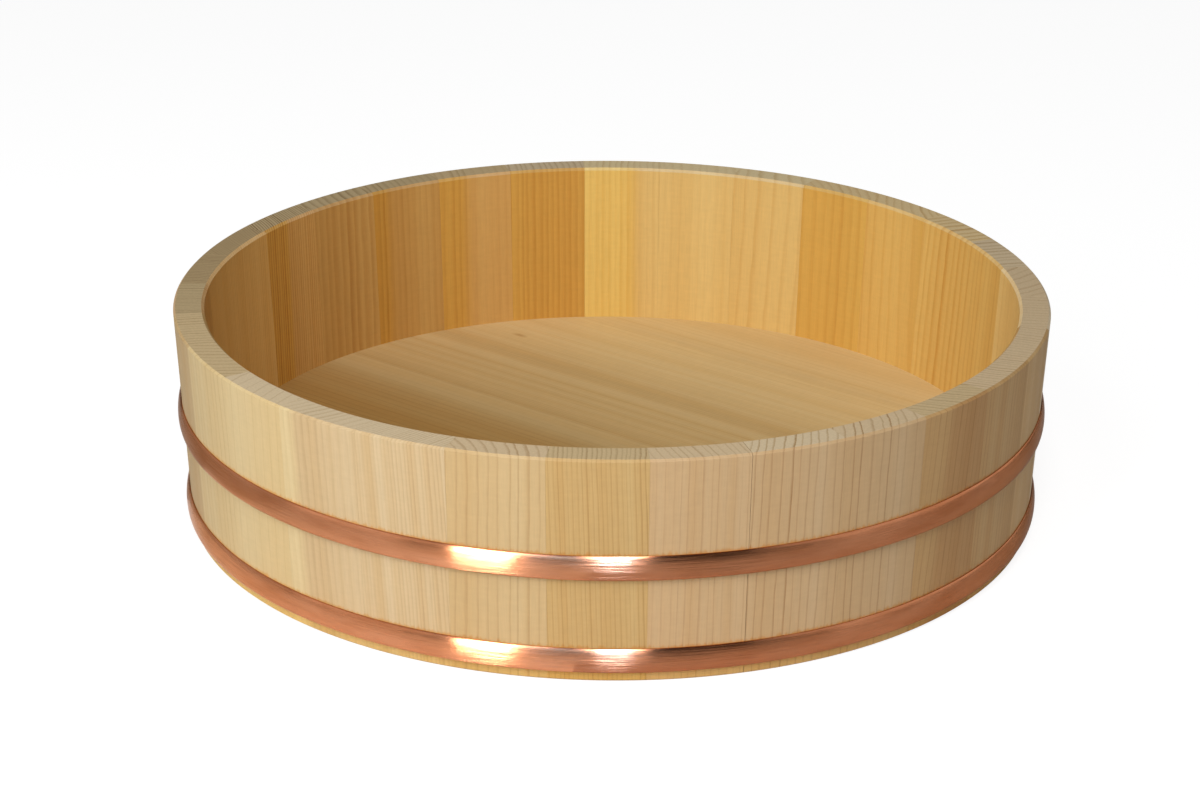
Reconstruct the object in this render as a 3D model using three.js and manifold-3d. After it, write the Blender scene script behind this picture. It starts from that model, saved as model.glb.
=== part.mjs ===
// Sushi rice tub: a low coopered vessel. Upright wooden staves stand edge to edge in a ring, two
// copper hoops hold them together, and a floor of pinned planks sits in a groove around their inside.
// Millimetres, +Z up. The origin is on the tub's axis, on the surface that its foot stands on, and
// the front of the tub faces -Y.

import * as THREE from "three";
import { mergeVertices } from "three/addons/utils/BufferGeometryUtils.js";
import Module from "manifold-3d";

// Wall of the tub: a slightly tapered ring. The inset is how far the foot lies within the rim.
const rimDiameter = 390;
const footInset = 4.5;
const tubHeight = 98;
const wallThickness = 13.6;
const rimOuterChamfer = 1.2;
const rimInnerChamfer = 1.2;
const footChamfer = 0.8;

// Staves: equal shares of the ring, with a glue line between neighbours.
const staveCount = 30;
const firstJointAngle = -97.5;
const staveGlueLine = 0.3;

// Floor: a disc of edge-jointed planks, its edge let into the croze, a groove in the staves.
const floorTopHeight = 19.4;
const floorThickness = 13;
const crozeDepth = 4;
const crozeClearance = 0.3;
const plankWidth = 113;
const plankJointOffset = 16.6;
const narrowestPlank = 30;
const plankGlueLine = 0.3;
const plankGrainAngle = -38.5;

// Pins: bamboo pegs in the edges of the planks, the same number in every joint.
const pinsPerJoint = 3;
const pinDiameter = 5;
const pinLength = 32;
const pinClearance = 0.3;

// Hoops: half-round copper bands that follow the taper of the wall.
const upperHoopHeight = 51.3;
const lowerHoopHeight = 9.8;
const hoopWidth = 10;
const hoopCrown = 1.9;
const hoopEdge = 0.5;
const hoopClearance = 0.3;

// Fineness of the round shapes, and how far a cutting shape reaches past what it cuts.
const facetsPerStave = 4;
const hoopCrownSteps = 6;
const pinFacets = 12;
const cutOverrun = 5;

const wasm = await Module();
wasm.setup();

const facetsAround = staveCount * facetsPerStave;
const stavePitch = (2 * Math.PI) / staveCount;
const floorBottomHeight = floorTopHeight - floorThickness;
const floorMiddleHeight = floorTopHeight - floorThickness / 2;
const crozeRadius = innerRadius(floorTopHeight) + crozeDepth;
const floorRadius = crozeRadius - crozeClearance;

function outerRadius(height) {
  return rimDiameter / 2 - footInset * (1 - height / tubHeight);
}

function innerRadius(height) {
  return outerRadius(height) - wallThickness;
}

// A closed mesh as a solid that can be cut, and back.
function toSolid(geometry) {
  const bare = geometry.clone();
  bare.deleteAttribute("normal");
  bare.deleteAttribute("uv");
  const merged = mergeVertices(bare);
  return new wasm.Manifold(new wasm.Mesh({
    numProp: 3,
    vertProperties: new Float32Array(merged.attributes.position.array),
    triVerts: new Uint32Array(merged.index.array),
  }));
}

function toGeometry(solid) {
  const mesh = solid.getMesh();
  const geometry = new THREE.BufferGeometry();
  geometry.setAttribute("position", new THREE.BufferAttribute(mesh.vertProperties, 3));
  geometry.setIndex(new THREE.BufferAttribute(mesh.triVerts, 1));
  geometry.computeVertexNormals();
  return geometry;
}

// A profile of radius and height, listed anticlockwise and closed on itself, turned about the axis.
function turned(profile) {
  const points = profile.map(([radius, height]) => new THREE.Vector2(radius, height));
  points.push(points[0].clone());
  return new THREE.LatheGeometry(points, facetsAround).rotateX(Math.PI / 2);
}

// The wall's section: up the outside, over the rim, down the inside and round the croze.
function wallSection() {
  const crozeTop = floorTopHeight + crozeClearance;
  const crozeBottom = floorBottomHeight - crozeClearance;
  const chamferBottom = tubHeight - rimOuterChamfer;
  const innerChamferBottom = tubHeight - rimInnerChamfer;
  return [
    [outerRadius(0) - footChamfer, 0],
    [outerRadius(footChamfer), footChamfer],
    [outerRadius(chamferBottom), chamferBottom],
    [outerRadius(tubHeight) - rimOuterChamfer, tubHeight],
    [innerRadius(tubHeight) + rimInnerChamfer, tubHeight],
    [innerRadius(innerChamferBottom), innerChamferBottom],
    [innerRadius(crozeTop), crozeTop],
    [crozeRadius, crozeTop],
    [crozeRadius, crozeBottom],
    [innerRadius(crozeBottom), crozeBottom],
    [innerRadius(0), 0],
  ];
}

// One stave, about the +X direction: the share of the wall between two upright joint faces, each
// half a glue line back from its neighbour's.
function staveGeometry() {
  const halfPitch = stavePitch / 2;
  const tip = staveGlueLine / 2 / Math.sin(halfPitch);
  const reach = rimDiameter / 2 + cutOverrun;
  const spread = reach * Math.tan(halfPitch);
  const plan = new THREE.Shape([
    new THREE.Vector2(tip, 0),
    new THREE.Vector2(tip + reach, -spread),
    new THREE.Vector2(tip + reach, spread),
  ]);
  const depth = tubHeight + 2 * cutOverrun;
  const share = new THREE.ExtrudeGeometry(plan, { depth, bevelEnabled: false });
  share.translate(0, 0, -cutOverrun);
  return toGeometry(toSolid(turned(wallSection())).intersect(toSolid(share)));
}

// Where the planks meet, measured across the grain from the axis. A joint that would leave a
// sliver at the edge of the disc isn't made.
function plankJoints() {
  const limit = floorRadius - narrowestPlank;
  const below = Math.floor((limit + plankJointOffset) / plankWidth);
  const joints = [];
  for (let joint = plankJointOffset - below * plankWidth; joint <= limit; joint += plankWidth) {
    joints.push(joint);
  }
  return joints;
}

// The pins' places share out the length of the joint evenly.
function pinPlaces(joint) {
  const jointLength = 2 * Math.sqrt(floorRadius ** 2 - joint ** 2);
  const places = [];
  for (let index = 0; index < pinsPerJoint; index += 1) {
    const along = jointLength * ((index + 0.5) / pinsPerJoint - 0.5);
    places.push(new THREE.Vector3(along, joint, floorMiddleHeight));
  }
  return places;
}

function pinBore(place) {
  const radius = pinDiameter / 2 + pinClearance;
  const bore = new THREE.CylinderGeometry(radius, radius, pinLength + 2 * pinClearance, pinFacets);
  return bore.translate(place.x, place.y, place.z);
}

// One plank: the disc between two joints, bored for the pins of both. Its grain runs along X.
function plankGeometry(lowEdge, highEdge, pins) {
  const disc = new THREE.CylinderGeometry(floorRadius, floorRadius, floorThickness, facetsAround);
  disc.rotateX(Math.PI / 2);
  disc.translate(0, 0, floorMiddleHeight);
  const width = highEdge - lowEdge;
  const strip = new THREE.BoxGeometry(2 * (floorRadius + cutOverrun), width, floorThickness + cutOverrun);
  strip.translate(0, (lowEdge + highEdge) / 2, floorMiddleHeight);
  let plank = toSolid(disc).intersect(toSolid(strip));
  for (const pin of pins) {
    plank = plank.subtract(toSolid(pinBore(pin)));
  }
  return toGeometry(plank);
}

// One hoop: its bore follows the wall, its outside is crowned between two thin edges.
function hoopGeometry(middleHeight) {
  const bottom = middleHeight - hoopWidth / 2;
  const bore = (height) => outerRadius(height) + hoopClearance;
  const profile = [[bore(bottom), bottom]];
  for (let step = 0; step <= hoopCrownSteps; step += 1) {
    const share = step / hoopCrownSteps;
    const height = bottom + share * hoopWidth;
    const rise = 4 * share * (1 - share);
    profile.push([bore(height) + hoopEdge + (hoopCrown - hoopEdge) * rise, height]);
  }
  profile.push([bore(bottom + hoopWidth), bottom + hoopWidth]);
  return turned(profile);
}

function piece(name, geometry, finish) {
  const mesh = new THREE.Mesh(geometry, new THREE.MeshStandardMaterial(finish));
  mesh.name = name;
  return mesh;
}

// Finishes: bare planed softwood in the tints of different logs, bamboo, and brushed copper.
const staveTints = ["#c9a163", "#c8a478", "#d6b78a", "#d9bd93"];
const staveWoods = staveTints.map((color) => ({ color, roughness: 0.6, metalness: 0 }));
const plankWood = { color: "#d1b07c", roughness: 0.6, metalness: 0 };
const bamboo = { color: "#cfb877", roughness: 0.5, metalness: 0 };
const copper = { color: "#c07a58", roughness: 0.3, metalness: 1 };

const tub = new THREE.Group();

// Staves, anticlockwise from the first joint. Neighbours differ in tint.
const stave = staveGeometry();
for (let index = 0; index < staveCount; index += 1) {
  const name = `stave_${String(index + 1).padStart(2, "0")}`;
  const mesh = piece(name, stave, staveWoods[index % staveWoods.length]);
  mesh.rotation.z = THREE.MathUtils.degToRad(firstJointAngle) + (index + 0.5) * stavePitch;
  tub.add(mesh);
}

// Floor, turned so that its planks run the way of their grain.
const floor = new THREE.Group();
floor.rotation.z = THREE.MathUtils.degToRad(plankGrainAngle);
const joints = plankJoints();
const pins = joints.map(pinPlaces);
for (let index = 0; index <= joints.length; index += 1) {
  const lowEdge = index > 0 ? joints[index - 1] + plankGlueLine / 2 : -floorRadius - cutOverrun;
  const highEdge = index < joints.length ? joints[index] - plankGlueLine / 2 : floorRadius + cutOverrun;
  const edgePins = [...(pins[index - 1] ?? []), ...(pins[index] ?? [])];
  const plank = plankGeometry(lowEdge, highEdge, edgePins);
  floor.add(piece(`floor_plank_${index + 1}`, plank, plankWood));
}
pins.flat().forEach((place, index) => {
  const peg = new THREE.CylinderGeometry(pinDiameter / 2, pinDiameter / 2, pinLength, pinFacets);
  const mesh = piece(`floor_pin_${index + 1}`, peg, bamboo);
  mesh.position.copy(place);
  floor.add(mesh);
});
tub.add(floor);

// Hoops, turned so that their facets lie flat on those of the staves.
const hoopHeights = { upper_hoop: upperHoopHeight, lower_hoop: lowerHoopHeight };
for (const [name, height] of Object.entries(hoopHeights)) {
  const hoop = piece(name, hoopGeometry(height), copper);
  hoop.rotation.z = THREE.MathUtils.degToRad(firstJointAngle);
  tub.add(hoop);
}

export default tub;
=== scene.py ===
import math

import bpy
from mathutils import Matrix, Vector


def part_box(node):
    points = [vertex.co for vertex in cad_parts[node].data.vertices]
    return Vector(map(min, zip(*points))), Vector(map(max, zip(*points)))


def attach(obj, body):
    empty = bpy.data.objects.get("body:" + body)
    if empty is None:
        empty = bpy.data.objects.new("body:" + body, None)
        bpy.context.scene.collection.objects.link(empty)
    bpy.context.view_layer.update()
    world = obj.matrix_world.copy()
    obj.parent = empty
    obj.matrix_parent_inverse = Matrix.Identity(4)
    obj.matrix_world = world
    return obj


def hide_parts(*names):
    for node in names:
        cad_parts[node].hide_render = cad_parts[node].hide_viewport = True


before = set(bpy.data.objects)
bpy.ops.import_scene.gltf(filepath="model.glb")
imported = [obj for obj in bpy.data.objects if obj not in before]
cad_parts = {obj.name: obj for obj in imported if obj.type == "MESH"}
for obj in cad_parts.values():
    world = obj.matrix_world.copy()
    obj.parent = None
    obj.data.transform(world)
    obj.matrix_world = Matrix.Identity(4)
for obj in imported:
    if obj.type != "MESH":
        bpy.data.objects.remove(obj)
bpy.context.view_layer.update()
scene = bpy.context.scene

# Camera: in front of the tub, above it and looking down, with a long lens.
# Metres, and the tub's own frame: its axis is Z and its front faces -Y.
camera_place = Vector((0, -1.23687, 0.54288))
camera_pitch = 0.3829
camera_yaw = 0.0041
camera_roll = 0.0055
lens = bpy.data.cameras.new("camera")
lens.sensor_width = 36
lens.lens = 87.946
camera = bpy.data.objects.new("camera", lens)
camera.matrix_world = (
    Matrix.Translation(camera_place)
    @ Matrix.Rotation(camera_yaw, 4, "Z")
    @ Matrix.Rotation(math.pi / 2 - camera_pitch, 4, "X")
    @ Matrix.Rotation(camera_roll, 4, "Z")
)
scene.collection.objects.link(camera)
scene.camera = camera
scene.view_settings.view_transform = "Standard"

# Staves: thirty boards of pale cypress, quarter-sawn so that their rings run through the wall.
# Each is planed to the tub's curve inside and out, grooved for the floor, and glued edge to edge.
# The rim shows their end grain, and its two edges are planed off at a slant.
MM = 0.001
stave_nodes = [name for name in sorted(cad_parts) if name.startswith("stave_")]
stave_share = 2 * math.pi / len(stave_nodes)
first_joint = math.radians(-97.5)
tub_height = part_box("stave_01")[1].z
rim_radius = max(v.co.xy.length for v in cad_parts["stave_01"].data.vertices)
foot_inset = 4.5 * MM
wall = 13.6 * MM
rim_outer_chamfer = 1.0 * MM
rim_inner_chamfer = 1.2 * MM
foot_chamfer = 0.8 * MM
glue_line = 0.04 * MM
stave_steps = 8
stave_seed = 3.7
crease_angle = math.radians(32)
within_wall = rim_radius - foot_inset - wall / 3
floor_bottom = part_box("floor_plank_2")[0].z
floor_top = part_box("floor_plank_2")[1].z
disc_radius = max(v.co.xy.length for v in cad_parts["floor_plank_2"].data.vertices)
hoop_spans = [(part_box(name)[0].z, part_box(name)[1].z) for name in ("lower_hoop", "upper_hoop")]


def outer_radius(height):
    return rim_radius - foot_inset * (1 - height / tub_height)


def inner_radius(height):
    return outer_radius(height) - wall


def outline(name, points):
    """A closed outline in a plane, as a mesh of edges."""
    mesh = bpy.data.meshes.new(name)
    edges = [(index, (index + 1) % len(points)) for index in range(len(points))]
    mesh.from_pydata([(x, y, 0) for x, y in points], edges, [])
    return mesh


def stave_section():
    """The wall's section as radius and height: foot, outside, rim, inside and the floor's groove."""
    outer_eased = tub_height - rim_outer_chamfer
    inner_eased = tub_height - rim_inner_chamfer
    return outline("stave section", [
        (inner_radius(0), 0),
        (outer_radius(0) - foot_chamfer, 0),
        (outer_radius(foot_chamfer), foot_chamfer),
        (outer_radius(outer_eased), outer_eased),
        (outer_radius(tub_height) - rim_outer_chamfer, tub_height),
        (inner_radius(tub_height) + rim_inner_chamfer, tub_height),
        (inner_radius(inner_eased), inner_eased),
        (inner_radius(floor_top), floor_top),
        (disc_radius, floor_top),
        (disc_radius, floor_bottom),
        (inner_radius(floor_bottom), floor_bottom),
    ])


def linear(colour):
    """A colour written as sRGB hex, as linear red, green, blue and alpha."""
    parts = [int(colour[start:start + 2], 16) / 255 for start in (1, 3, 5)]
    return [p / 12.92 if p <= 0.04045 else ((p + 0.055) / 1.055) ** 2.4 for p in parts] + [1]


def add(tree, kind, inputs=None, out=0, **settings):
    """Adds a node, sets it up, links or fills its inputs, and gives the output that is asked for."""
    node = tree.nodes.new(kind)
    for name, value in settings.items():
        setattr(node, name, value)
    for key, value in (inputs or {}).items():
        if isinstance(value, bpy.types.NodeSocket):
            tree.links.new(value, node.inputs[key])
        else:
            node.inputs[key].default_value = value
    return node.outputs[out] if node.outputs else node


def new_tree(name, sockets):
    """An empty tree of geometry nodes with named inputs. Gives the tree and its inputs' outlets."""
    tree = bpy.data.node_groups.new(name, "GeometryNodeTree")
    tree.interface.new_socket("Geometry", in_out="OUTPUT", socket_type="NodeSocketGeometry")
    tree.interface.new_socket("Geometry", in_out="INPUT", socket_type="NodeSocketGeometry")
    for label, kind in sockets.items():
        tree.interface.new_socket(label, in_out="INPUT", socket_type="NodeSocket" + kind)
    entry = tree.nodes.new("NodeGroupInput")
    return tree, {socket.name: socket for socket in entry.outputs if socket.name}


def grown(name, base, tree, values):
    """A piece that a tree of geometry nodes makes from a base mesh, as a plain mesh."""
    piece = bpy.data.objects.new(name, base)
    scene.collection.objects.link(piece)
    modifier = piece.modifiers.new(tree.name, "NODES")
    modifier.node_group = tree
    for item in tree.interface.items_tree:
        if item.in_out == "INPUT" and item.name in values:
            modifier[item.identifier] = values[item.name]
    graph = bpy.context.evaluated_depsgraph_get()
    made = piece.evaluated_get(graph)
    mesh = bpy.data.meshes.new_from_object(made, preserve_all_data_layers=True, depsgraph=graph)
    piece.modifiers.remove(modifier)
    piece.data = mesh
    mesh.name = name
    mesh.shade_smooth()
    mesh.set_sharp_from_angle(angle=crease_angle)
    return piece


def wood_tree(name, sockets):
    """A tree whose inputs also say how a board lay in its log and what its wood is like."""
    board = {"Pith": "Vector", "Ring Width": "Float", "Lean": "Float", "Seed": "Float", "Tone": "Color",
             "Heart Tone": "Color", "Heart Ring": "Float", "End Tone": "Color", "Figure": "Vector",
             "Turn": "Float", "Wood": "Material"}
    return new_tree(name, sockets | board)


def finish_board(tree, inputs, geometry, across, through, along):
    """Stores a board's own coordinates on its mesh, turns it to its place and ends its tree.

    rings holds the place in the log's cross-section in ring widths, with the pith at zero, and the
    board's seed. fibre holds the place in the board in metres, the last number along the grain."""
    leaning = add(tree, "ShaderNodeMath", {0: along, 1: inputs["Lean"], 2: across},
                  operation="MULTIPLY_ADD")
    place = add(tree, "ShaderNodeCombineXYZ", {0: leaning, 1: through})
    from_pith = add(tree, "ShaderNodeVectorMath", {0: place, 1: inputs["Pith"]}, operation="SUBTRACT")
    per_ring = add(tree, "ShaderNodeMath", {0: 1.0, 1: inputs["Ring Width"]}, operation="DIVIDE")
    rings = add(tree, "ShaderNodeVectorMath", {0: from_pith, "Scale": per_ring}, operation="SCALE")
    seed_step = add(tree, "ShaderNodeCombineXYZ", {2: inputs["Seed"]})
    rings = add(tree, "ShaderNodeVectorMath", {0: rings, 1: seed_step}, operation="ADD")
    own = add(tree, "ShaderNodeCombineXYZ", {0: across, 1: through, 2: along})
    fibre = add(tree, "ShaderNodeVectorMath", {0: own, 1: inputs["Seed"]}, operation="ADD")
    stored = {"rings": ("FLOAT_VECTOR", rings), "fibre": ("FLOAT_VECTOR", fibre),
              "figure": ("FLOAT_VECTOR", inputs["Figure"]), "tone": ("FLOAT_COLOR", inputs["Tone"]),
              "heart": ("FLOAT_COLOR", inputs["Heart Tone"]), "heart_ring": ("FLOAT", inputs["Heart Ring"]),
              "end": ("FLOAT_COLOR", inputs["End Tone"])}
    for name, (kind, value) in stored.items():
        geometry = add(tree, "GeometryNodeStoreNamedAttribute",
                       {"Geometry": geometry, "Name": name, "Value": value}, data_type=kind, domain="POINT")
    rotation = add(tree, "ShaderNodeCombineXYZ", {2: inputs["Turn"]})
    placed = add(tree, "GeometryNodeTransform", {"Geometry": geometry, "Rotation": rotation})
    real = add(tree, "GeometryNodeRealizeInstances", {0: placed})
    dressed = add(tree, "GeometryNodeSetMaterial", {"Geometry": real, "Material": inputs["Wood"]})
    add(tree, "NodeGroupOutput", {0: dressed})
    return tree


def stave_tree():
    """Sweeps the section straight, then bends the length round the tub's axis."""
    sockets = {"Share": "Float", "Glue Line": "Float", "Steps": "Int", "Wall Middle": "Float"}
    tree, inputs = wood_tree("stave", sockets)
    section = add(tree, "GeometryNodeMeshToCurve", {"Mesh": inputs["Geometry"]})
    path = add(tree, "GeometryNodeCurvePrimitiveLine", {"Start": (0, 0, -1), "End": (0, 0, 1)})
    path = add(tree, "GeometryNodeResampleCurve", {"Curve": path, "Count": inputs["Steps"]})
    swept = add(tree, "GeometryNodeCurveToMesh",
                {"Curve": path, "Profile Curve": section, "Fill Caps": True})
    place = add(tree, "ShaderNodeSeparateXYZ", {0: add(tree, "GeometryNodeInputPosition")})
    radius, height, along = place.node.outputs
    gap = add(tree, "ShaderNodeMath", {0: inputs["Glue Line"], 1: radius}, operation="DIVIDE")
    spread = add(tree, "ShaderNodeMath", {0: inputs["Share"], 1: gap}, operation="SUBTRACT")
    half = add(tree, "ShaderNodeMath", {0: spread, 1: -0.5}, operation="MULTIPLY")
    turn = add(tree, "ShaderNodeMath", {0: half, 1: along}, operation="MULTIPLY")
    across = add(tree, "ShaderNodeMath", {0: turn}, operation="SINE")
    across = add(tree, "ShaderNodeMath", {0: across, 1: radius}, operation="MULTIPLY")
    outward = add(tree, "ShaderNodeMath", {0: turn}, operation="COSINE")
    outward = add(tree, "ShaderNodeMath", {0: outward, 1: radius}, operation="MULTIPLY")
    bent = add(tree, "ShaderNodeCombineXYZ", {0: outward, 1: across, 2: height})
    bent = add(tree, "GeometryNodeSetPosition", {"Geometry": swept, "Position": bent})
    local = add(tree, "ShaderNodeSeparateXYZ", {0: add(tree, "GeometryNodeInputPosition")})
    outward, across, height = local.node.outputs
    through = add(tree, "ShaderNodeMath", {0: outward, 1: inputs["Wall Middle"]}, operation="SUBTRACT")
    return finish_board(tree, inputs, bent, across, through, height)


def softwood(name, end_grain, turn=0.0, bands_and_shade=(), knot=None):
    """Planed and sanded cypress: a pale ground with thin brown lines of late wood, one a year.

    Each line darkens slowly and ends sharply, and some years are stronger than others. Fine fibres
    run along the grain. Sawn across, the wood is greyer and mottled, with broader lines. Bands are
    runs of darker years and painted shade, by their place across a grain that is turned, and a knot
    has a place, a length along the grain and a width."""
    material = bpy.data.materials.new(name)
    material.use_nodes = True
    tree = material.node_tree
    tree.nodes.clear()
    rings = add(tree, "ShaderNodeAttribute", out="Vector", attribute_name="rings")
    fibre = add(tree, "ShaderNodeAttribute", out="Vector", attribute_name="fibre")
    tone = add(tree, "ShaderNodeAttribute", out="Color", attribute_name="tone")
    heart = add(tree, "ShaderNodeAttribute", out="Color", attribute_name="heart")
    heart_ring = add(tree, "ShaderNodeAttribute", out="Fac", attribute_name="heart_ring")
    figure = add(tree, "ShaderNodeAttribute", out="Vector", attribute_name="figure")
    figure = add(tree, "ShaderNodeSeparateXYZ", {0: figure})
    strength, line_share, heart_strength = figure.node.outputs
    seed = add(tree, "ShaderNodeSeparateXYZ", {0: rings}, out=2)
    place = add(tree, "ShaderNodeTexCoord", out="Object")

    def noise(across, along, detail):
        """Noise that is drawn out along the grain, with its size in mm."""
        size = Vector((1 / across, 1 / across, 1 / along)) / MM
        scaled = add(tree, "ShaderNodeVectorMath", {0: fibre, 1: size}, operation="MULTIPLY")
        return add(tree, "ShaderNodeTexNoise", {"Vector": scaled, "Scale": 1, "Detail": detail})

    def spread(value, low, high, **span):
        """A value between two others, as far along as a noise lies between its usual limits."""
        limits = {"From Min": 0.28, "From Max": 0.72, "To Min": low, "To Max": high}
        return add(tree, "ShaderNodeMapRange", {"Value": value} | limits | span)

    def blend(share, first, second, kind="MIX"):
        colours = {0: share, 6: first, 7: second}
        return add(tree, "ShaderNodeMix", colours, out=2, data_type="RGBA", blend_type=kind)

    # The rings wander over a hand's breadth and tremble over a finger's. Flecks and threads run along
    # the grain, and a faint ripple across it.
    wander = noise(40, 200, 2)
    tremble = noise(6, 26, 3)
    fleck = noise(1.2, 12, 2)
    threads = noise(0.6, 25, 2)
    ripple = noise(6, 1.5, 2)
    plane = add(tree, "ShaderNodeVectorMath", {0: rings, 1: (1, 1, 0)}, operation="MULTIPLY")
    ring = add(tree, "ShaderNodeVectorMath", {0: plane}, out="Value", operation="LENGTH")
    ring = add(tree, "ShaderNodeMath", {0: wander, 1: 0.6, 2: ring}, operation="MULTIPLY_ADD")
    ring = add(tree, "ShaderNodeMath", {0: tremble, 1: 0.35, 2: ring}, operation="MULTIPLY_ADD")

    # Heartwood, in the rings next to the pith, differs in colour from the sapwood round it.
    beyond = add(tree, "ShaderNodeMath", {0: ring, 1: heart_ring}, operation="SUBTRACT")
    in_heart = add(tree, "ShaderNodeMapRange", {"Value": beyond, "From Min": -0.6, "From Max": 1.4,
                                                "To Min": 1.0, "To Max": 0.0},
                   interpolation_type="SMOOTHSTEP")
    tone = blend(in_heart, tone, heart)
    if end_grain:
        # Inside, the staves are painted a deeper yellow than outside, as painted light that the walls
        # bounce on one another. The rim's inner edge is painted half way between the two.
        level = add(tree, "ShaderNodeVectorMath", {0: place, 1: (1, 1, 0)}, operation="MULTIPLY")
        reach = add(tree, "ShaderNodeVectorMath", {0: level}, out="Value", operation="LENGTH")
        outside = add(tree, "ShaderNodeMath", {0: reach, 1: within_wall}, operation="GREATER_THAN")
        height = add(tree, "ShaderNodeSeparateXYZ", {0: place}, out=2)
        at_rim = add(tree, "ShaderNodeMath", {0: height, 1: tub_height - rim_inner_chamfer},
                     operation="GREATER_THAN")
        at_rim = add(tree, "ShaderNodeMath", {0: at_rim, 1: 0.5}, operation="MULTIPLY")
        outside = add(tree, "ShaderNodeMath", {0: outside, 1: at_rim}, operation="MAXIMUM")
        tone = blend(outside, blend(1.0, tone, linear("#ffebb2"), "MULTIPLY"), tone)
    strength = add(tree, "ShaderNodeMix", {0: in_heart, 2: strength, 3: heart_strength})

    def dense(colour, depth):
        """Late wood: the same wood packed closer, so that it is deeper in the same hue."""
        deep = add(tree, "ShaderNodeGamma", {"Color": colour, "Gamma": depth})
        return add(tree, "ShaderNodeVectorMath", {0: deep, "Scale": 0.93}, operation="SCALE")

    # Wet and dry years: rings differ in width and in how dark they end, broad late wood the least.
    pace = add(tree, "ShaderNodeMath", {0: ring, 1: 0.37, 2: seed}, operation="MULTIPLY_ADD")
    pace = add(tree, "ShaderNodeTexNoise", {"W": pace, "Scale": 1, "Detail": 1}, noise_dimensions="1D")
    uneven = add(tree, "ShaderNodeMath", {0: pace, 1: 0.8, 2: ring}, operation="MULTIPLY_ADD")
    phase = add(tree, "ShaderNodeMath", {0: uneven}, operation="FRACT")
    year = add(tree, "ShaderNodeMath", {0: uneven}, operation="FLOOR")
    year = add(tree, "ShaderNodeMath", {0: year, 1: seed}, operation="ADD")
    vigour = add(tree, "ShaderNodeTexWhiteNoise", {"W": year}, noise_dimensions="1D")
    vigour = add(tree, "ShaderNodeMath", {0: vigour, 1: 2.2}, operation="POWER")
    least = add(tree, "ShaderNodeMath", {0: line_share, 1: 0.4, 2: 0.36}, operation="MULTIPLY_ADD")
    vigour = add(tree, "ShaderNodeMapRange", {"Value": vigour, "To Min": least, "To Max": 1.0})
    vigour = add(tree, "ShaderNodeMath", {0: vigour, 1: spread(fleck, 0.75, 1.1)}, operation="MULTIPLY")

    if bands_and_shade:
        # Runs of darker years across the floor, and painted shade over its front-left half.
        turned = add(tree, "ShaderNodeMapping", {"Vector": place, "Rotation": (0, 0, -turn)})
        across = add(tree, "ShaderNodeSeparateXYZ", {0: turned}, out=1)
        across = add(tree, "ShaderNodeMath", {0: tremble, 1: 1.5 * MM, 2: across}, operation="MULTIPLY_ADD")
        share = add(tree, "ShaderNodeMapRange", {"Value": across, "From Min": -disc_radius,
                                                 "From Max": disc_radius})
        dark = add(tree, "ShaderNodeValToRGB", {0: share})
        stops = dark.node.color_ramp.elements
        for _ in bands_and_shade[2:]:
            stops.new(0.5)
        for stop, (spot, depth) in zip(stops, bands_and_shade):
            stop.position = 0.5 + spot * MM / disc_radius / 2
            stop.color = (depth, depth, depth, 1)
        strength = add(tree, "ShaderNodeMath", {0: dark, 1: 0.2, 2: strength}, operation="MULTIPLY_ADD")
        tone = blend(dark, tone, blend(1.0, tone, linear("#c8b08a"), "MULTIPLY"))

    def late_wood(breadth, gain):
        """How dark the late wood is: a slow rise and a sharp end within each ring."""
        start, full, fade = [
            add(tree, "ShaderNodeMath", {0: breadth, 1: -share, 2: 1.0}, operation="MULTIPLY_ADD")
            for share in (2.4, 0.5, 0.3)
        ]
        rise = add(tree, "ShaderNodeMapRange", {"Value": phase, "From Min": start, "From Max": full},
                   interpolation_type="SMOOTHSTEP")
        rise = add(tree, "ShaderNodeMath", {0: rise, 1: 1.6}, operation="POWER")
        fall = add(tree, "ShaderNodeMapRange",
                   {"Value": phase, "From Min": fade, "From Max": 1.0, "To Min": gain, "To Max": 0.0})
        late = add(tree, "ShaderNodeMath", {0: rise, 1: fall}, operation="MULTIPLY")
        late = add(tree, "ShaderNodeMath", {0: late, 1: vigour}, operation="MULTIPLY")
        return add(tree, "ShaderNodeMath", {0: late, 1: strength}, operation="MULTIPLY", use_clamp=True)

    line = late_wood(line_share, 1.0)

    # The ground drifts between paler and deeper wood from one run of years to the next.
    drift = add(tree, "ShaderNodeMath", {0: ring, 1: 0.23, 2: seed}, operation="MULTIPLY_ADD")
    drift = add(tree, "ShaderNodeTexNoise", {"W": drift, "Scale": 1, "Detail": 2}, noise_dimensions="1D")
    ground = blend(spread(drift, 0.0, 1.0), tone, blend(1.0, tone, linear("#f8f0e3"), "MULTIPLY"))
    shade = add(tree, "ShaderNodeMath", {0: spread(threads, 0.965, 1.035), 1: spread(ripple, 0.98, 1.02)},
                operation="MULTIPLY")
    ground = add(tree, "ShaderNodeVectorMath", {0: ground, "Scale": shade}, operation="SCALE")
    colour = blend(line, ground, dense(ground, 1.9))
    rough = add(tree, "ShaderNodeMapRange", {"Value": line, "To Min": 0.58, "To Max": 0.48})

    if knot:
        # A pin knot: a brown speck, longer along the grain.
        knot_place, knot_length, knot_width = knot
        turned = add(tree, "ShaderNodeMapping",
                     {"Vector": place, "Location": knot_place, "Rotation": (0, 0, turn)},
                     vector_type="TEXTURE")
        reach = add(tree, "ShaderNodeVectorMath", {0: turned, 1: (1 / knot_length, 1 / knot_width, 0)},
                    operation="MULTIPLY")
        reach = add(tree, "ShaderNodeVectorMath", {0: reach}, out="Value", operation="LENGTH")
        speck = add(tree, "ShaderNodeMapRange", {"Value": reach, "From Min": 0.1, "From Max": 1.0,
                                                 "To Min": 0.6, "To Max": 0.0})
        colour = blend(speck, colour, linear("#a8773c"))

    if end_grain:
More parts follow.
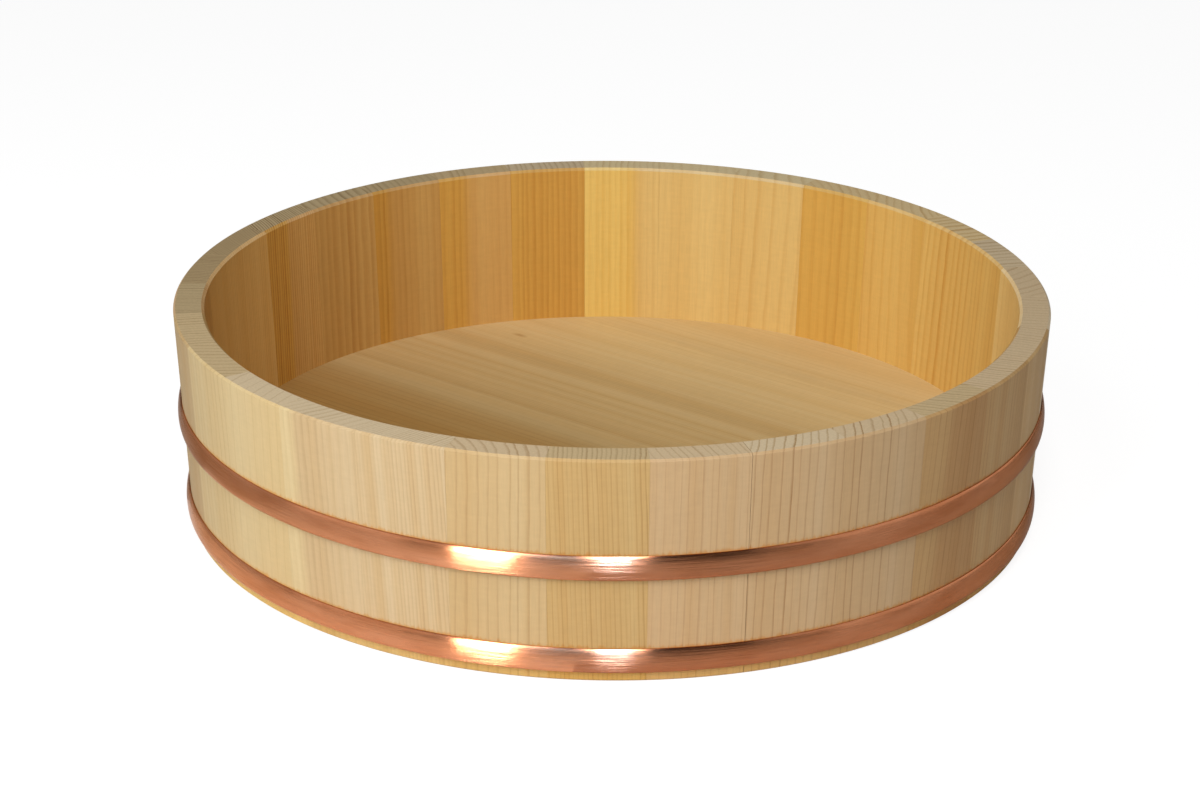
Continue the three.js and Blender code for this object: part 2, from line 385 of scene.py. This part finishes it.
        # End grain, where the surface faces along the grain: the rim and the foot.
        facing = add(tree, "ShaderNodeSeparateXYZ",
                     {0: add(tree, "ShaderNodeNewGeometry", out="Normal")}, out=2)
        facing = add(tree, "ShaderNodeMath", {0: facing}, operation="ABSOLUTE")
        cut = add(tree, "ShaderNodeMapRange", {"Value": facing, "From Min": 0.8, "From Max": 0.97},
                  interpolation_type="SMOOTHSTEP")
        end = add(tree, "ShaderNodeAttribute", out="Color", attribute_name="end")
        mottle = spread(noise(0.9, 0.9, 2), 0.94, 1.06)
        sawn = add(tree, "ShaderNodeVectorMath", {0: end, "Scale": mottle}, operation="SCALE")
        broad = add(tree, "ShaderNodeMath", {0: line_share, 1: 1.25}, operation="MULTIPLY")
        broad = add(tree, "ShaderNodeMath", {0: broad, 1: 0.28}, operation="MINIMUM")
        sawn = blend(late_wood(broad, 1.45), sawn, dense(sawn, 2.4))
        colour = blend(cut, colour, sawn)
        rough = add(tree, "ShaderNodeMix", {0: cut, 2: rough, 3: 0.72})

        # The foot is painted brighter and yellower, as painted light that the white table throws up on it.
        foot_bounce_gain = 1.15
        foot_bounce_tint = [foot_bounce_gain * part for part in linear("#fff2c0")]
        foot = add(tree, "ShaderNodeMapRange", {"Value": height, "From Min": hoop_spans[0][0],
                                                "From Max": hoop_spans[0][1], "To Min": 0.9, "To Max": 0.0})
        foot = add(tree, "ShaderNodeMath", {0: foot, 1: outside}, operation="MULTIPLY")
        colour = blend(foot, colour, blend(1.0, colour, foot_bounce_tint, "MULTIPLY"))

        # Beside the hoops: a stain, most where the fibres drink, and painted warm light off the copper.
        beside_reach = spread(fleck, 0.5 * MM, 3.0 * MM, **{"From Min": 0.4, "From Max": 0.8})
        stain_and_glow = 0.0
        for low, high in hoop_spans:
            off = add(tree, "ShaderNodeMath", {0: height, 1: (low + high) / 2}, operation="SUBTRACT")
            off = add(tree, "ShaderNodeMath", {0: off}, operation="ABSOLUTE")
            off = add(tree, "ShaderNodeMath", {0: off, 1: (high - low) / 2}, operation="SUBTRACT")
            beside = add(tree, "ShaderNodeMapRange", {"Value": off, "From Max": beside_reach,
                                                      "To Min": 1.0, "To Max": 0.0})
            stain_and_glow = add(tree, "ShaderNodeMath", {0: stain_and_glow, 1: beside}, operation="MAXIMUM")
        stain_and_glow = add(tree, "ShaderNodeMath", {0: stain_and_glow, 1: outside}, operation="MULTIPLY")
        colour = blend(stain_and_glow, colour, blend(1.0, colour, linear("#fbd798"), "MULTIPLY"))

    # Threads and late wood stand a little proud.
    raised = add(tree, "ShaderNodeMath", {0: threads, 1: 0.6, 2: line}, operation="MULTIPLY_ADD")
    relief = add(tree, "ShaderNodeBump", {"Strength": 0.6, "Distance": 0.03 * MM, "Height": raised})
    shader = add(tree, "ShaderNodeBsdfPrincipled",
                 {"Base Color": colour, "Roughness": rough, "Normal": relief,
                  "Specular IOR Level": 0.35})
    add(tree, "ShaderNodeOutputMaterial", {"Surface": shader})
    return material


# The tones of planed boards.
woods = {
    "cream": "#d3bd8f",
    "biscuit": "#cab28b",
    "wheat": "#c6ab7e",
    "tan": "#c5a77f",
    "straw": "#cfac79",
    "hazel": "#c29e6c",
    "ochre": "#c2a26c",
    "brown": "#b88f5d",
    "golden": "#e5cb99",
    "peach": "#e5d3b1",
    "yellow": "#ebd7a0",
    "orange": "#ddbd7d",
    "amber": "#d3ae6d",
    "caramel": "#c8a05e",
    "honey": "#caaa80",
    "toffee": "#d4b48c",
    "almond": "#e2c69e",
    "shell": "#eddbbb",
    "oat": "#e0c590",
    "sand": "#e0c896",
}

# The tones of sawn ends.
ends = {
    "bone": "#e1cc9f",
    "flax": "#ddc392",
    "parchment": "#d2bd9a",
    "linen": "#ceb691",
    "fawn": "#c7af85",
    "drab": "#bba57d",
    "dun": "#b09870",
}

# Each board: wood, end, ring width in mm, how strong its lines are and how wide in mm, how its rings
# turn through the wall in degrees, how far off its pith lies in mm, on the left (-) or right (+) seen
# from outside, and how far its grain leans to the left for each unit of height.
stave_boards = [
    ("ochre", "fawn", 1.9, 0.42, 0.4, 0, -140, 0.03),
    ("tan", "linen", 3.0, 0.35, 0.4, -11, 150, 0.0),
    ("tan", "parchment", 3.4, 0.7, 0.45, 26, -160, -0.04),
    ("tan", "linen", 3.8, 0.65, 0.45, 31, -120, -0.04),
    ("hazel", "fawn", 2.8, 0.4, 0.4, -31, 150, -0.03),
    ("hazel", "linen", 2.6, 0.45, 0.4, -14, 150, -0.01),
    ("straw", "linen", 3.0, 0.35, 0.4, 0, -200, 0.01),
    ("shell", "linen", 3.3, 0.35, 0.4, 0, 150, 0.0),
    ("shell", "linen", 5.0, 0.3, 0.8, -36, 90, 0.0),
    ("golden", "parchment", 4.2, 0.4, 1.0, 4, -150, 0.02),
    ("golden", "flax", 5.0, 0.58, 1.6, 8, -150, 0.02),
    ("golden", "flax", 4.0, 0.35, 0.8, -50, -100, 0.03),
    ("orange", "flax", 4.0, 0.3, 1.2, -44, 120, 0.04),
    ("peach", "bone", 7.0, 0.45, 1.4, -20, -150, 0.05),
    ("peach", "bone", 4.5, 0.16, 1.2, -14, 150, 0.02),
    ("yellow", "bone", 3.2, 0.3, 1.2, 0, -150, 0.0),
    ("amber", "parchment", 3.0, 0.4, 1.2, 0, 150, 0.0),
    ("toffee", "fawn", 4.0, 0.13, 1.2, 7, 150, 0.0),
    ("honey", "drab", 3.4, 0.24, 1.2, 10, 150, 0.0),
    ("honey", "drab", 4.3, 0.45, 2.0, 20, -150, 0.01),
    ("toffee", "drab", 1.4, 0.7, 0.5, 31, 150, 0.0),
    ("almond", "dun", 1.4, 0.45, 0.45, 40, -150, 0.0),
    ("almond", "dun", 2.0, 0.45, 0.5, 0, 150, 0.0),
    ("toffee", "drab", 2.2, 0.45, 0.5, 2, -150, 0.01),
    ("wheat", "fawn", 3.0, 0.45, 0.4, 5, 150, 0.0),
    ("cream", "fawn", 3.6, 0.5, 0.5, 26, -150, -0.01),
    ("cream", "parchment", 5.0, 0.34, 0.4, -20, 150, 0.0),
    ("biscuit", "parchment", 3.5, 0.26, 1.0, 20, -150, 0.01),
    ("biscuit", "parchment", 1.6, 0.4, 0.5, 22, -150, 0.02),
    ("wheat", "linen", 4.0, 0.54, 0.65, -27, -57, 0.0),
]

# Boards that were sawn across the edge of the heartwood, by their place in the ring: the heart's
# wood, how strong its lines are, and where it ends, in mm to the right of the board's middle.
heart_edges = {
    5: ("brown", 0.45, -11.0),
    12: ("orange", 0.45, -3.2),
    16: ("peach", 0.25, -6.4),
    18: ("amber", 0.3, 2.4),
    19: ("caramel", 0.5, 7.9),
    21: ("amber", 0.9, -3.2),
    28: ("cream", 0.25, -9.0),
    29: ("biscuit", 0.22, 0.0),
}

# A joint that has opened by a hair, by the board on its left.
open_joints = {2: 0.14 * MM}


def grain(wood, end, ring_width, strength, line_width, pith, heart):
    """How a board lay in its log and what its wood is like, as inputs of a board's tree."""
    heart_wood, heart_strength, heart_edge = heart or (wood, strength, None)
    heart_ring = (Vector((heart_edge * MM, 0, 0)) - pith).length / (ring_width * MM) if heart else 0.0
    return {
        "Pith": pith,
        "Ring Width": ring_width * MM,
        "Tone": linear(woods[wood]),
        "Heart Tone": linear(woods[heart_wood]),
        "Heart Ring": heart_ring,
        "End Tone": linear(end),
        "Figure": (strength, line_width / ring_width, heart_strength),
    }


stave_wood = softwood("planed cypress staves", True)
staves = stave_tree()
section = stave_section()
for index, (wood, end, ring_width, strength, line_width, turn, away, lean) in enumerate(stave_boards):
    angle = math.radians(turn)
    opening = open_joints.get(index + 1, 0) / rim_radius
    pith = away * MM * Vector((math.cos(angle), math.sin(angle), 0))
    piece = grown(f"wood_{stave_nodes[index]}", section, staves, {
        "Turn": first_joint + (index + 0.5) * stave_share - opening / 2,
        "Share": stave_share - opening,
        "Glue Line": glue_line,
        "Steps": stave_steps + 1,
        "Wall Middle": rim_radius - wall / 2,
        "Lean": lean,
        "Seed": stave_seed * (index + 1),
        "Wood": stave_wood,
    } | grain(wood, ends[end], ring_width, strength, line_width, pith, heart_edges.get(index + 1)))
    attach(piece, "root")
    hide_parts(stave_nodes[index])

# Floor: four planks of the same wood, planed level, bored for pins and glued edge to edge.
# They make a disc whose edge sits in the groove of the staves, with the grain at a slant.
grain_angle = math.radians(-38.5)
cad_glue_line = 0.3 * MM
pin_diameter = 5 * MM
pin_length = 32 * MM
pin_clearance = 0.3 * MM
pins_per_joint = 3
bore_facets = 24
disc_facets = 240
clear_of_disc = 40 * MM
plank_seed = 151.3
plank_seed_step = 7.9


def pin_bores(tree, inputs, edge):
    """Bores for the pins of one joint, which share out its length evenly."""
    square = add(tree, "ShaderNodeMath", {0: edge, 1: edge}, operation="MULTIPLY")
    reach = add(tree, "ShaderNodeMath", {0: inputs["Disc Radius"], 1: 2.0}, operation="POWER")
    half = add(tree, "ShaderNodeMath", {0: reach, 1: square}, operation="SUBTRACT")
    half = add(tree, "ShaderNodeMath", {0: half}, operation="SQRT")
    length = add(tree, "ShaderNodeMath", {0: half, 1: 2.0}, operation="MULTIPLY")
    step = add(tree, "ShaderNodeMath", {0: length, 1: inputs["Pins"]}, operation="DIVIDE")
    first = add(tree, "ShaderNodeMath", {0: step, 1: 0.5}, operation="MULTIPLY")
    first = add(tree, "ShaderNodeMath", {0: first, 1: half}, operation="SUBTRACT")
    start = add(tree, "ShaderNodeCombineXYZ", {0: first, 1: edge, 2: inputs["Middle"]})
    offset = add(tree, "ShaderNodeCombineXYZ", {0: step})
    row = add(tree, "GeometryNodeMeshLine",
              {"Count": inputs["Pins"], "Start Location": start, "Offset": offset})
    bore = add(tree, "GeometryNodeMeshCylinder", {"Vertices": bore_facets, "Radius": inputs["Bore Radius"],
                                                  "Depth": inputs["Bore Length"]})
    lying = add(tree, "GeometryNodeTransform", {"Geometry": bore, "Rotation": (math.pi / 2, 0, 0)})
    copies = add(tree, "GeometryNodeInstanceOnPoints", {"Points": row, "Instance": lying})
    return add(tree, "GeometryNodeRealizeInstances", {0: copies})


def plank_tree():
    """Cuts a plank out of the disc between two edges, bores it, and turns it to the floor's grain."""
    sockets = {"Disc Radius": "Float", "Facets": "Int", "Low Edge": "Float", "High Edge": "Float",
               "Middle": "Float", "Thickness": "Float", "Pins": "Int",
               "Bore Radius": "Float", "Bore Length": "Float", "Glue Line": "Float"}
    tree, inputs = wood_tree("plank", sockets)
    disc = add(tree, "GeometryNodeMeshCylinder",
               {"Vertices": inputs["Facets"], "Radius": inputs["Disc Radius"],
                "Depth": inputs["Thickness"]})
    lift = add(tree, "ShaderNodeCombineXYZ", {2: inputs["Middle"]})
    disc = add(tree, "GeometryNodeTransform", {"Geometry": disc, "Translation": lift})
    low, high = inputs["Low Edge"], inputs["High Edge"]
    width = add(tree, "ShaderNodeMath", {0: high, 1: low}, operation="SUBTRACT")
    width = add(tree, "ShaderNodeMath", {0: width, 1: inputs["Glue Line"]}, operation="SUBTRACT")
    long = add(tree, "ShaderNodeMath", {0: inputs["Disc Radius"], 1: 3.0}, operation="MULTIPLY")
    size = add(tree, "ShaderNodeCombineXYZ", {0: long, 1: width, 2: long})
    centre = add(tree, "ShaderNodeMath", {0: high, 1: low}, operation="ADD")
    centre = add(tree, "ShaderNodeMath", {0: centre, 1: 0.5}, operation="MULTIPLY")
    strip = add(tree, "GeometryNodeMeshCube", {"Size": size})
    shift = add(tree, "ShaderNodeCombineXYZ", {1: centre})
    strip = add(tree, "GeometryNodeTransform", {"Geometry": strip, "Translation": shift})
    plank = add(tree, "GeometryNodeMeshBoolean", {"Mesh 2": disc}, operation="INTERSECT", solver="EXACT")
    tree.links.new(strip, plank.node.inputs["Mesh 2"])
    bored = add(tree, "GeometryNodeMeshBoolean", {"Mesh 1": plank}, operation="DIFFERENCE", solver="EXACT")
    for edge in (low, high):
        tree.links.new(pin_bores(tree, inputs, edge), bored.node.inputs["Mesh 2"])
    local = add(tree, "ShaderNodeSeparateXYZ", {0: add(tree, "GeometryNodeInputPosition")})
    along, across, height = local.node.outputs
    return finish_board(tree, inputs, bored, across, height, along)


# Each plank: wood, ring width in mm, how strong its lines are, and where its pith lies in mm,
# across the floor and upwards from the table. The lines' width, in mm, is the same in all.
plank_boards = [
    ("sand", 3.0, 0.14, (-260, -60)),
    ("sand", 3.6, 0.1, (-330, -90)),
    ("oat", 1.6, 0.14, (330, -70)),
    ("oat", 3.0, 0.14, (460, -150)),
]
plank_line = 0.6

# Runs of darker years across the floor, and painted shade over its front-left half: the place in mm
# and how deep they are there.
floor_bands_and_shade = [
    (-180, 1.0), (-40, 1.0), (-15, 0.9), (0, 0.75), (12, 0.42), (16, 0.38), (17.5, 0.55), (22, 0.5),
    (30, 0.32), (40, 0.36), (56, 0.3), (61, 0.28), (66, 0.44), (69, 0.42), (72, 0.26),
    (76, 0.24), (92, 0.08), (115, 0.0), (128, 0.0), (131, 0.2), (144, 0.08), (180, 0.1),
]

# A pin knot in the floor's top: its place, its length along the grain and its width.
knot = (Vector((-46.4, 149.9, 19.4)) * MM, 5.5 * MM, 2.2 * MM)
plank_nodes = [name for name in sorted(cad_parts) if name.startswith("floor_plank_")]
floor_wood = softwood("planed cypress floor", False, grain_angle, floor_bands_and_shade, knot)
planks = plank_tree()
to_grain = Matrix.Rotation(-grain_angle, 3, "Z")
for index, (wood, ring_width, strength, pith) in enumerate(plank_boards):
    edges = [(to_grain @ v.co).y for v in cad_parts[plank_nodes[index]].data.vertices]
    low, high = min(edges), max(edges)
    first, last = index == 0, index == len(plank_boards) - 1
    piece = grown(f"wood_{plank_nodes[index]}", bpy.data.meshes.new("plank"), planks, {
        "Disc Radius": disc_radius,
        "Facets": disc_facets,
        "Low Edge": low - clear_of_disc if first else low - cad_glue_line / 2,
        "High Edge": high + clear_of_disc if last else high + cad_glue_line / 2,
        "Middle": (floor_bottom + floor_top) / 2,
        "Thickness": floor_top - floor_bottom,
        "Turn": grain_angle,
        "Pins": pins_per_joint,
        "Bore Radius": pin_diameter / 2 + pin_clearance,
        "Bore Length": pin_length + 2 * pin_clearance,
        "Glue Line": glue_line,
        "Lean": 0.0,
        "Seed": plank_seed + plank_seed_step * index,
        "Wood": floor_wood,
    } | grain(wood, woods[wood], ring_width, strength, plank_line, Vector((*pith, 0)) * MM, None))
    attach(piece, "root")
    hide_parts(plank_nodes[index])

# Floor pins: whittled bamboo, driven into the edges of two planks, out of sight in the glued floor.
# Bamboo is straw-coloured, with straight bundles of fibres along the pin.
bundle_width = 0.5 * MM
bundle_length = 12 * MM


def split_bamboo():
    """Bamboo, split and whittled: straw-coloured, with bundles of darker fibres."""
    material = bpy.data.materials.new("split bamboo")
    material.use_nodes = True
    tree = material.node_tree
    tree.nodes.clear()
    place = add(tree, "ShaderNodeTexCoord", out="Object")
    turned = add(tree, "ShaderNodeMapping", {"Vector": place, "Rotation": (0, 0, -grain_angle)})
    bundle = Vector((1 / bundle_width, 1 / bundle_length, 1 / bundle_width))
    scaled = add(tree, "ShaderNodeVectorMath", {0: turned, 1: bundle}, operation="MULTIPLY")
    fibres = add(tree, "ShaderNodeTexNoise", {"Vector": scaled, "Scale": 1, "Detail": 2})
    share = add(tree, "ShaderNodeMapRange", {"Value": fibres, "From Min": 0.35, "From Max": 0.65})
    colour = add(tree, "ShaderNodeMix", {0: share, 6: linear("#b99a56"), 7: linear("#d8c283")}, out=2,
                 data_type="RGBA")
    rough = add(tree, "ShaderNodeMapRange", {"Value": fibres, "To Min": 0.42, "To Max": 0.6})
    shader = add(tree, "ShaderNodeBsdfPrincipled", {"Base Color": colour, "Roughness": rough})
    add(tree, "ShaderNodeOutputMaterial", {"Surface": shader})
    return material


bamboo = split_bamboo()
for name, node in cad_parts.items():
    if name.startswith("floor_pin_"):
        node.data.materials.clear()
        node.data.materials.append(bamboo)

# Hoops: two bands of half-round copper, bent to the tub, brazed into rings and driven on tight.
# They are polished with an abrasive along the band, so that lights stretch across it.
hoop_round_steps = 24
hoop_facets = 360
hoop_gap = 0.03 * MM
hoop_lip = 0.35 * MM
hoop_sag = 1.5 * MM
hoop_fullness = 0.9
scratch_length = 30 * MM
scratch_width = 0.04 * MM
cloud_length = 30 * MM
cloud_width = 6 * MM


def hoop_section(low, high, crest):
    """A half oval that stands upright on the leaning wall and is thickest below its middle.

    Its points are distances from the rim's circle and depths."""
    middle = (low + high) / 2
    half_width = (high - low) / 2
    edge = outer_radius(high) + hoop_gap + hoop_lip
    points = [(outer_radius(low) + hoop_gap, low)]
    for step in range(hoop_round_steps + 1):
        angle = math.pi * (step / hoop_round_steps - 0.5)
        height = middle + half_width * math.sin(angle) - hoop_sag * math.cos(angle)
        points.append((edge + (crest - edge) * math.cos(angle) ** hoop_fullness, height))
    points.append((outer_radius(high) + hoop_gap, high))
    return outline("hoop section", [(radius - rim_radius, -height) for radius, height in reversed(points)])


def hoop_tree():
    """Carries the section round a circle."""
    tree, inputs = new_tree("hoop", {"Radius": "Float", "Facets": "Int", "Copper": "Material"})
    section = add(tree, "GeometryNodeMeshToCurve", {"Mesh": inputs["Geometry"]})
    path = add(tree, "GeometryNodeCurvePrimitiveCircle",
               {"Radius": inputs["Radius"], "Resolution": inputs["Facets"]})
    swept = add(tree, "GeometryNodeCurveToMesh", {"Curve": path, "Profile Curve": section})
    real = add(tree, "GeometryNodeRealizeInstances", {0: swept})
    dressed = add(tree, "GeometryNodeSetMaterial", {"Geometry": real, "Material": inputs["Copper"]})
    add(tree, "NodeGroupOutput", {0: dressed})
    return tree


def brushed_copper():
    """Copper rubbed along the band: fine bright scratches, soft sheen and a little brown in places."""
    material = bpy.data.materials.new("brushed copper")
    material.use_nodes = True
    tree = material.node_tree
    tree.nodes.clear()
    place = add(tree, "ShaderNodeTexCoord", out="Object")
    scratch = Vector((1 / scratch_length, 1 / scratch_length, 1 / scratch_width))
    scaled = add(tree, "ShaderNodeVectorMath", {0: place, 1: scratch}, operation="MULTIPLY")
    scratches = add(tree, "ShaderNodeTexNoise", {"Vector": scaled, "Scale": 1, "Detail": 3})
    cloud = Vector((1 / cloud_length, 1 / cloud_length, 1 / cloud_width))
    scaled = add(tree, "ShaderNodeVectorMath", {0: place, 1: cloud}, operation="MULTIPLY")
    clouds = add(tree, "ShaderNodeTexNoise", {"Vector": scaled, "Scale": 1, "Detail": 3})
    share = add(tree, "ShaderNodeMapRange", {"Value": clouds, "From Min": 0.35, "From Max": 0.75})
    colour = add(tree, "ShaderNodeMix", {0: share, 6: linear("#ba7c59"), 7: linear("#a96945")}, out=2,
                 data_type="RGBA")
    rough = add(tree, "ShaderNodeMapRange", {"Value": scratches, "From Min": 0.25, "From Max": 0.75,
                                             "To Min": 0.16, "To Max": 0.22})
    # Most of the scratches are shallow and a few are deep.
    depth = add(tree, "ShaderNodeMapRange", {"Value": scratches, "From Min": 0.25, "From Max": 0.75,
                                             "To Min": -1.2, "To Max": 1.2})
    size = add(tree, "ShaderNodeMath", {0: depth}, operation="ABSOLUTE")
    steep = add(tree, "ShaderNodeMath", {0: depth, 1: size}, operation="MULTIPLY")
    tilt = add(tree, "ShaderNodeCombineXYZ", {2: steep})
    smooth = add(tree, "ShaderNodeNewGeometry", out="Normal")
    tilted = add(tree, "ShaderNodeVectorMath", {0: smooth, 1: tilt}, operation="ADD")
    relief = add(tree, "ShaderNodeVectorMath", {0: tilted}, operation="NORMALIZE")
    band = add(tree, "ShaderNodeTangent", direction_type="RADIAL", axis="Z")
    shader = add(tree, "ShaderNodeBsdfPrincipled",
                 {"Base Color": colour, "Metallic": 1.0, "Roughness": rough, "Normal": relief,
                  "Specular Tint": linear("#e4d1c1"), "Anisotropic": 1.0, "Anisotropic Rotation": 0.25,
                  "Tangent": band})
    add(tree, "ShaderNodeOutputMaterial", {"Surface": shader})
    return material


copper = brushed_copper()
hoops = hoop_tree()
for name in ("upper_hoop", "lower_hoop"):
    low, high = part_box(name)
    profile = hoop_section(low.z, high.z, high.x)
    piece = grown(f"copper_{name}", profile, hoops,
                  {"Radius": rim_radius, "Facets": hoop_facets, "Copper": copper})
    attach(piece, "root")
    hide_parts(name)

# Studio: a wide white table that runs on to a white sweep, a soft box on the left of the camera, a
# second one over it, a dim board on each side, and dim walls all round.


def white_table():
    """White paper: pale in the light that it throws on the tub, and white with a faint shadow to see."""
    material = bpy.data.materials.new("white table")
    material.use_nodes = True
    tree = material.node_tree
    tree.nodes.clear()
    lit = add(tree, "ShaderNodeBsdfDiffuse", {"Color": linear("#eeece8")})
    white = add(tree, "ShaderNodeEmission", {"Color": linear("#ffffff"), "Strength": 0.88})
    faint = add(tree, "ShaderNodeBsdfDiffuse", {"Color": linear("#8c8c8c")})
    shown = add(tree, "ShaderNodeAddShader", {0: white, 1: faint})
    seen = add(tree, "ShaderNodeLightPath", out="Is Camera Ray")
    mixed = add(tree, "ShaderNodeMixShader", {0: seen, 1: lit, 2: shown})
    add(tree, "ShaderNodeOutputMaterial", {"Surface": mixed})
    return material


table_size = 12
table_drop = 0.2 * MM
table_mesh = bpy.data.meshes.new("table")
half = table_size / 2
table_mesh.from_pydata([(-half, -half, 0), (half, -half, 0), (half, half, 0), (-half, half, 0)], [],
                       [(0, 1, 2, 3)])
table = bpy.data.objects.new("table", table_mesh)
table.location.z = -table_drop
table_mesh.materials.append(white_table())
scene.collection.objects.link(table)

light_target = Vector((0, 0, 0.06))


def area_lamp(name, width, height, power, colour):
    """A rectangular lamp that faces down. Its sizes are in metres and its power in watts."""
    lamp = bpy.data.lights.new(name, "AREA")
    lamp.shape = "RECTANGLE"
    lamp.size = width
    lamp.size_y = height
    lamp.energy = power
    lamp.color = linear(colour)[:3]
    holder = bpy.data.objects.new(name, lamp)
    scene.collection.objects.link(holder)
    return holder


def soft_box(name, azimuth, elevation, distance, width, height, power, colour):
    """A lamp that faces the tub. Its angles are in degrees, azimuth anticlockwise from +X."""
    holder = area_lamp(name, width, height, power, colour)
    turn, lift = math.radians(azimuth), math.radians(elevation)
    away = Vector((math.cos(turn) * math.cos(lift), math.sin(turn) * math.cos(lift), math.sin(lift)))
    holder.location = light_target + distance * away
    holder.rotation_euler = away.to_track_quat("Z", "Y").to_euler()
    return holder


soft_box("left of camera", -119.5, 30, 1.3, 0.36, 1.3, 10.4, "#ffffff")
soft_box("over camera", -88, 54, 2.0, 0.42, 1.2, 18, "#ffffff")
soft_box("left board", -152, 24, 1.5, 1.2, 0.8, 2.0, "#ffffff")
soft_box("right board", -10, 20, 1.5, 3.0, 1.2, 2.3, "#ffffff")

# Bright strips and dim screens that are kept off the wood and show only in the hoops, with a glow that
# lies on the table in front of the tub, on the left, and faces up, as the lit table does.
hoop_lamps = [
    soft_box("left strip", -119.6, 18, 1.3, 0.28, 0.7, 25, "#ffffff"),
    soft_box("middle strip", -89, 36, 2.0, 0.24, 0.8, 44, "#93c1ff"),
    soft_box("middle glow", -98, 34, 2.0, 0.9, 0.8, 14, "#93c5ff"),
    soft_box("left screen", -186, 26, 1.5, 3.2, 1.6, 11, "#ffffff"),
    soft_box("right screen", 10, 34, 1.5, 3.0, 1.6, 13, "#ffffff"),
]
table_glow = area_lamp("table glow", 0.215, 0.4, 0.2, "#d4e8f4")
table_glow.location = (-0.1224, -0.2199, 0.003)
table_glow.rotation_euler = (math.pi, 0, 0)
table_glow.visible_camera = False
glints = bpy.data.collections.new("glints")
for name in ("upper_hoop", "lower_hoop"):
    glints.objects.link(bpy.data.objects[f"copper_{name}"])
for lamp in (*hoop_lamps, table_glow):
    lamp.light_linking.receiver_collection = glints


def studio_walls():
    """Walls that throw little light on the tub, and the white sweep that shows behind it."""
    world = bpy.data.worlds.new("studio")
    scene.world = world
    world.use_nodes = True
    tree = world.node_tree
    tree.nodes.clear()
    dim = add(tree, "ShaderNodeBackground", {"Color": linear("#ffffff"), "Strength": 0.05})
    white = add(tree, "ShaderNodeBackground", {"Color": linear("#ffffff"), "Strength": 1.0})
    seen = add(tree, "ShaderNodeLightPath", out="Is Camera Ray")
    mixed = add(tree, "ShaderNodeMixShader", {0: seen, 1: dim, 2: white})
    add(tree, "ShaderNodeOutputWorld", {"Surface": mixed})


studio_walls()
